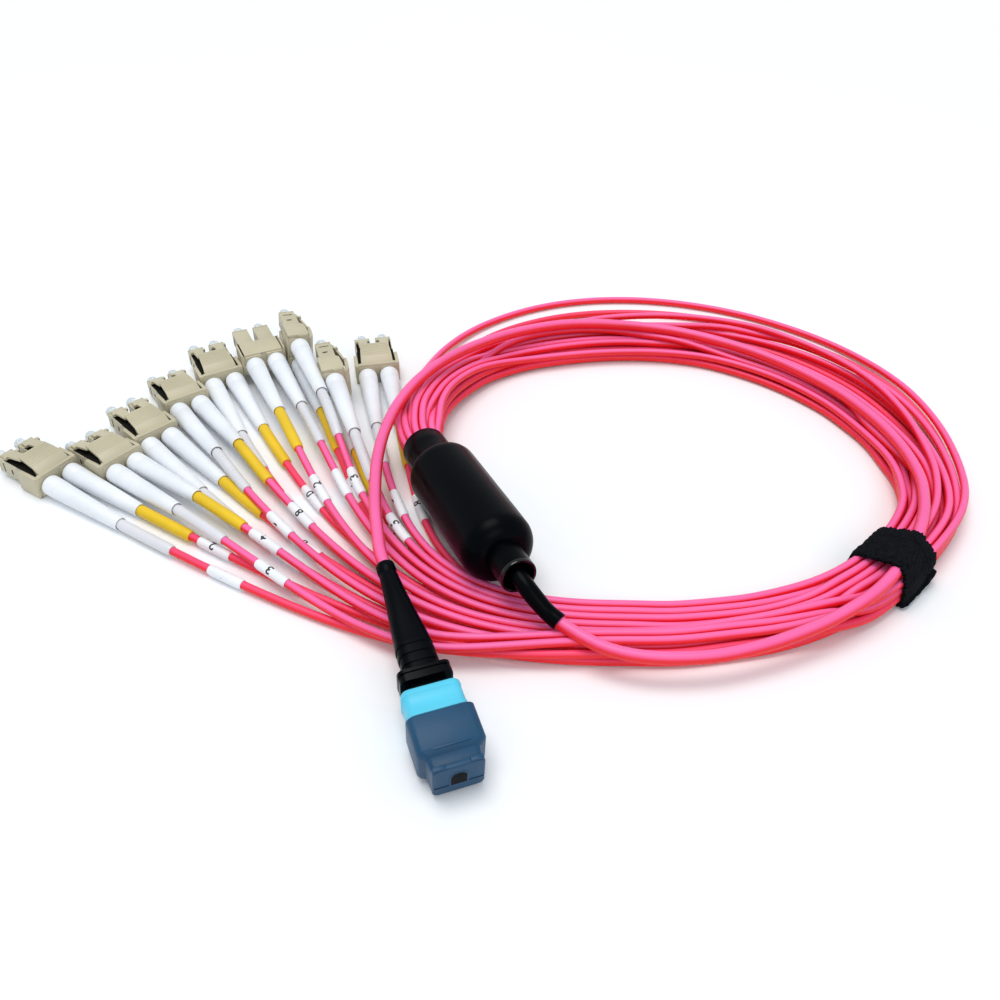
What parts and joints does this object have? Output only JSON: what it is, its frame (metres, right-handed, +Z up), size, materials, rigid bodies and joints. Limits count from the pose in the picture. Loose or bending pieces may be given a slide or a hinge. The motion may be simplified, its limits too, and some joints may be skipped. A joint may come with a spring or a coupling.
{
  "type": "fibre breakout cable",
  "caption": "Coiled optical fibre breakout cable: a thin trunk with a multi-fibre plug joins a round breakout housing, whose tails end in duplex plugs with dust caps.",
  "frame": {"origin": "on the surface the cable lies on, under the middle of the box round its housing, strap and plugs", "axes": "+Z up from that surface; +X along the laid-out cable's length, from the duplex plugs' fan towards the far side of the coil; the multi-fibre plug points towards -Y"},
  "size_m": [0.2549, 0.1924, 0.0211],
  "materials": {
    "housing": "satin black",
    "shrink_tube": "black shrink tube",
    "tail_jacket": "satin hot pink cable jacket",
    "trunk_jacket": "satin hot pink cable jacket",
    "strap": "woven black hook-and-loop tape",
    "mpo_boot": "black moulded rubber",
    "mpo_body": "black moulded plastic",
    "mpo_sleeve": "aqua blue moulded plastic",
    "mpo_cap": "slate grey moulded plastic",
    "duplex_plug": "beige moulded plastic with translucent dust caps",
    "tail_boot": "soft white rubber"
  },
  "bodies": {
    "cable": {"breakout_housing": "housing", "trunk_strain_relief": "shrink_tube", "coil_bundle": "tail_jacket", "trunk_cord": "trunk_jacket", "tie_strap": "strap", "mpo_boot": "mpo_boot", "mpo_body": "mpo_body", "tail_stray_loop": "tail_jacket", "lc_duplex_1": "duplex_plug", "lc_boot_1a": "tail_boot", "lc_boot_1b": "tail_boot", "lc_duplex_2": "duplex_plug", "lc_boot_2a": "tail_boot", "lc_boot_2b": "tail_boot", "lc_duplex_3": "duplex_plug", "lc_boot_3a": "tail_boot", "lc_boot_3b": "tail_boot", "lc_duplex_4": "duplex_plug", "lc_boot_4a": "tail_boot", "lc_boot_4b": "tail_boot", "lc_duplex_5": "duplex_plug", "lc_boot_5a": "tail_boot", "lc_boot_5b": "tail_boot", "lc_duplex_6": "duplex_plug", "lc_boot_6a": "tail_boot", "lc_boot_6b": "tail_boot", "lc_duplex_7": "duplex_plug", "lc_boot_7a": "tail_boot", "lc_boot_7b": "tail_boot", "lc_duplex_8": "duplex_plug", "lc_boot_8a": "tail_boot", "lc_boot_8b": "tail_boot", "lc_duplex_9": "duplex_plug", "lc_boot_9a": "tail_boot", "lc_boot_9b": "tail_boot", "tail_1a": "tail_jacket", "tail_1b": "tail_jacket", "tail_2a": "tail_jacket", "tail_2b": "tail_jacket", "tail_3a": "tail_jacket", "tail_3b": "tail_jacket", "tail_4a": "tail_jacket", "tail_4b": "tail_jacket", "tail_5a": "tail_jacket", "tail_5b": "tail_jacket", "tail_6a": "tail_jacket", "tail_6b": "tail_jacket", "tail_7a": "tail_jacket", "tail_7b": "tail_jacket", "tail_8a": "tail_jacket", "tail_8b": "tail_jacket", "tail_9a": "tail_jacket", "tail_9b": "tail_jacket"},
    "sleeve": {"mpo_sleeve": "mpo_sleeve"},
    "dust_cap": {"mpo_dust_cap": "mpo_cap"}
  },
  "joints": [
    {"name": "sleeve_slide", "type": "slide", "parent": "cable", "child": "sleeve", "axis": [0.3307, -0.9339, -0.1357], "range_m": [-0.0015, 0], "stiffness_N_per_m": 150},
    {"name": "dust_cap_slide", "type": "slide", "parent": "cable", "child": "dust_cap", "axis": [0.3307, -0.9339, -0.1357], "range_m": [0, 0.01]}
  ]
}
